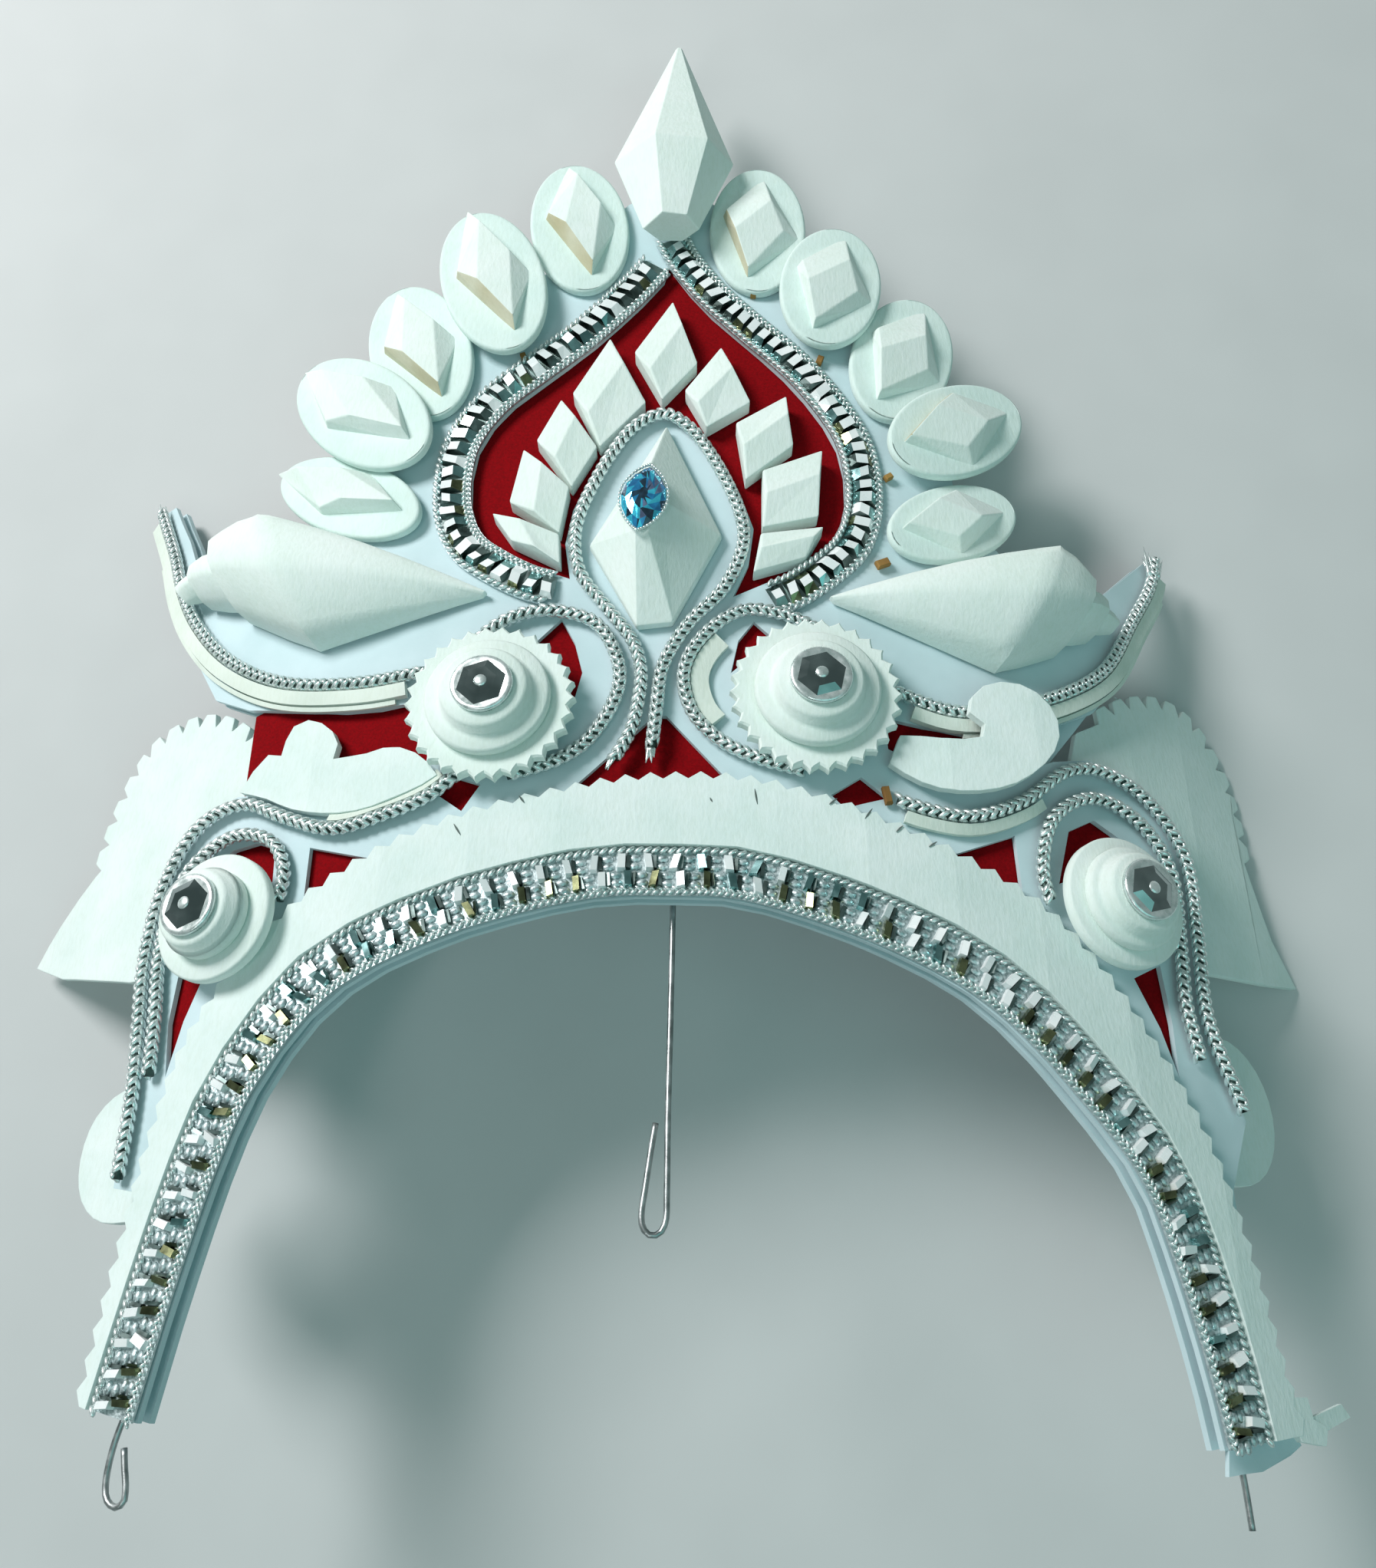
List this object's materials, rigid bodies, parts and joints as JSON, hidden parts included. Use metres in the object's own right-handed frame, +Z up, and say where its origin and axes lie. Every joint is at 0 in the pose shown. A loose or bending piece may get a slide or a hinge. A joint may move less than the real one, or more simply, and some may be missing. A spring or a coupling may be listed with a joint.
{
  "type": "bridal crown",
  "caption": "Bent card bridal crown faced with carved pith petals, buds and shells, silver lace and cord, mirrors and a blue stone; it frames the forehead and lies on its back.",
  "frame": {"origin": "middle of the footprint on the floor, with the crown lying on its back", "axes": "+Z up from the floor out of the crown's front, +Y from the arm ends towards the peak, +X to the right as seen from the front"},
  "size_m": [0.24, 0.2832, 0.0533],
  "materials": {
    "card": "matt white card",
    "red_paper": "deep red velvet paper",
    "pith": "matt white carved pith",
    "lace": "faceted silver lace",
    "cord": "braided silver cord",
    "wire": "dull galvanised wire",
    "mirror": "silvered glass",
    "stone": "blue foiled glass"
  },
  "bodies": {
    "root": {"arch_band": "pith", "arch_lace": "lace", "arch_wire": "wire", "base_card": "card", "bud": "pith", "bud_stone": "stone", "centre_wire": "wire", "comma_left": "pith", "comma_right": "pith", "conch_left": "pith", "conch_right": "pith", "ear_left": "pith", "ear_right": "pith", "front_card": "card", "half_disc_left": "pith", "half_disc_right": "pith", "lozenge_left_1": "pith", "lozenge_left_2": "pith", "lozenge_left_3": "pith", "lozenge_left_4": "pith", "lozenge_right_1": "pith", "lozenge_right_2": "pith", "lozenge_right_3": "pith", "lozenge_right_4": "pith", "lozenge_top": "pith", "onion_lace_left": "lace", "onion_lace_right": "lace", "petal_left_1": "pith", "petal_left_2": "pith", "petal_left_3": "pith", "petal_left_4": "pith", "petal_left_5": "pith", "petal_right_1": "pith", "petal_right_2": "pith", "petal_right_3": "pith", "petal_right_4": "pith", "petal_right_5": "pith", "red_ground": "red_paper", "rosette_left_boss": "pith", "rosette_left_disc": "pith", "rosette_left_mirror": "mirror", "rosette_right_boss": "pith", "rosette_right_disc": "pith", "rosette_right_mirror": "mirror", "scroll_cord_left": "cord", "scroll_cord_right": "cord", "side_cord_inner_left": "cord", "side_cord_inner_right": "cord", "side_cord_outer_left": "cord", "side_cord_outer_right": "cord", "side_rosette_left_boss": "pith", "side_rosette_left_disc": "pith", "side_rosette_left_mirror": "mirror", "side_rosette_right_boss": "pith", "side_rosette_right_disc": "pith", "side_rosette_right_mirror": "mirror", "spire": "pith", "teardrop_cord": "cord", "wing_cord_left": "cord", "wing_cord_right": "cord"}
  },
  "joints": []
}
